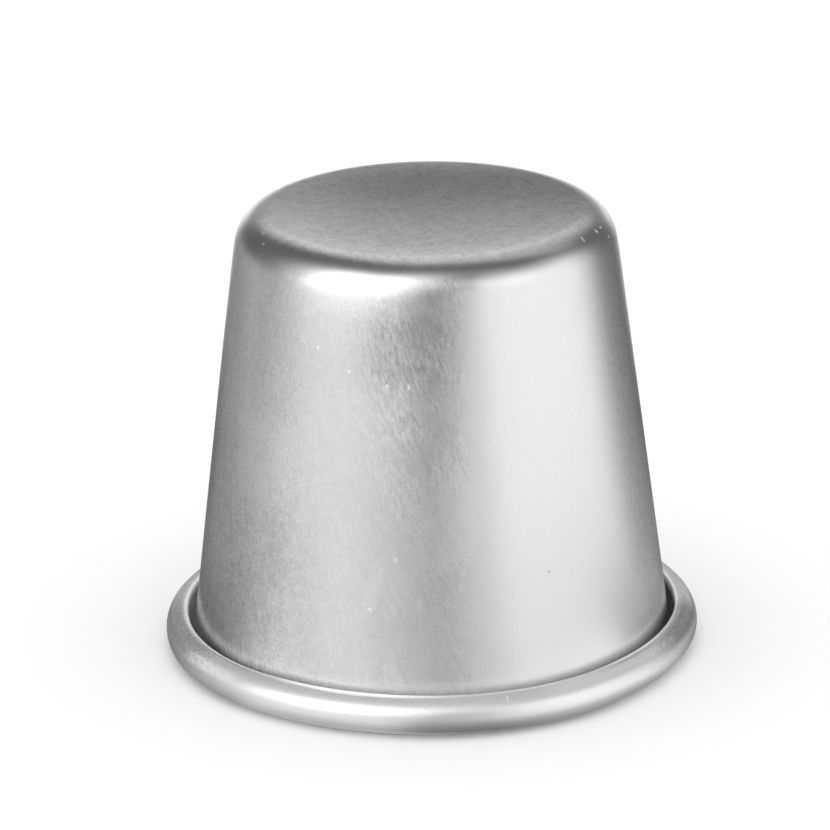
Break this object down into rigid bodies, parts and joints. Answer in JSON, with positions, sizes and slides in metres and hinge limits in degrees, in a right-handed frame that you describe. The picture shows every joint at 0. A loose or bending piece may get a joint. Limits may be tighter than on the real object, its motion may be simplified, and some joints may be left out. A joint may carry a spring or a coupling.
{
  "type": "baba mould",
  "caption": "Tapered round aluminium baba mould, mouth down, with a flat base, a rounded base corner and an open outward-rolled rim, for baking small yeast cakes.",
  "frame": {"origin": "centre of the rim's lowest circle, on the surface that the mould stands on mouth down", "axes": "+Z along the mould's axis, from the mouth to the base; the mould is round, so X and Y are free"},
  "size_m": [0.07, 0.07, 0.0592],
  "materials": {
    "satin_aluminium": "satin"
  },
  "bodies": {
    "root": {"mould_body": "satin_aluminium"}
  },
  "joints": []
}
